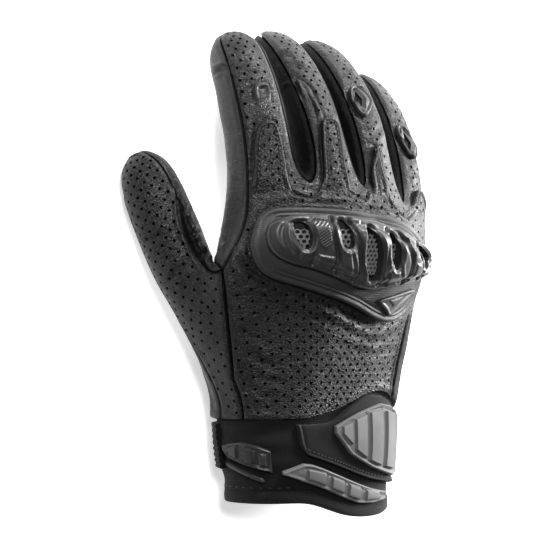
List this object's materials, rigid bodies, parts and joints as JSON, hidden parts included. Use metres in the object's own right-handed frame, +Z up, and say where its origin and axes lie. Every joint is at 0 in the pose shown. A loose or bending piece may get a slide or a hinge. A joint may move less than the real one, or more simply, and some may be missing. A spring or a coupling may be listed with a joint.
{
  "type": "motorcycle glove",
  "caption": "Right-hand leather motorcycle glove with a slotted knuckle guard, finger guards and a strapped cuff, lying palm down.",
  "frame": {"origin": "on the ground under the middle of the glove's bounding box", "axes": "+Y toward the fingertips, -X the thumb side, +Z up out of the back of the hand"},
  "size_m": [0.144, 0.2212, 0.0778],
  "materials": {
    "black_leather": "satin, perforated",
    "grey_leather": "satin",
    "knit": "matt",
    "black_rubber": "matt",
    "gloss_shell": "gloss",
    "grey_rubber": "matt"
  },
  "bodies": {
    "root": {"back_panel": "black_leather", "palm_panel": "black_leather", "little_side_panel": "black_leather", "fourchette_index_middle": "black_leather", "fourchette_middle_ring": "black_leather", "fourchette_ring_little": "black_leather", "thumb_back_panel": "black_leather", "thumb_palm_panel": "black_leather", "thumb_gusset": "black_leather", "index_tongue": "black_leather", "middle_tongue": "black_leather", "ring_tongue": "black_leather", "little_tongue": "black_leather", "index_flex_panel": "black_leather", "middle_flex_panel": "black_leather", "index_side_panel": "grey_leather", "cuff": "knit", "cuff_binding": "knit", "wrist_strap": "knit", "wrist_gather": "knit", "knuckle_base": "black_rubber", "guard_mesh": "black_rubber", "guard_badge": "black_rubber", "ring_finger_guard": "black_rubber", "little_finger_guard": "black_rubber", "cuff_patch": "black_rubber", "patch_strip": "black_rubber", "knuckle_guard": "gloss_shell", "strap_pad": "grey_rubber", "cuff_bar": "grey_rubber"}
  },
  "joints": []
}
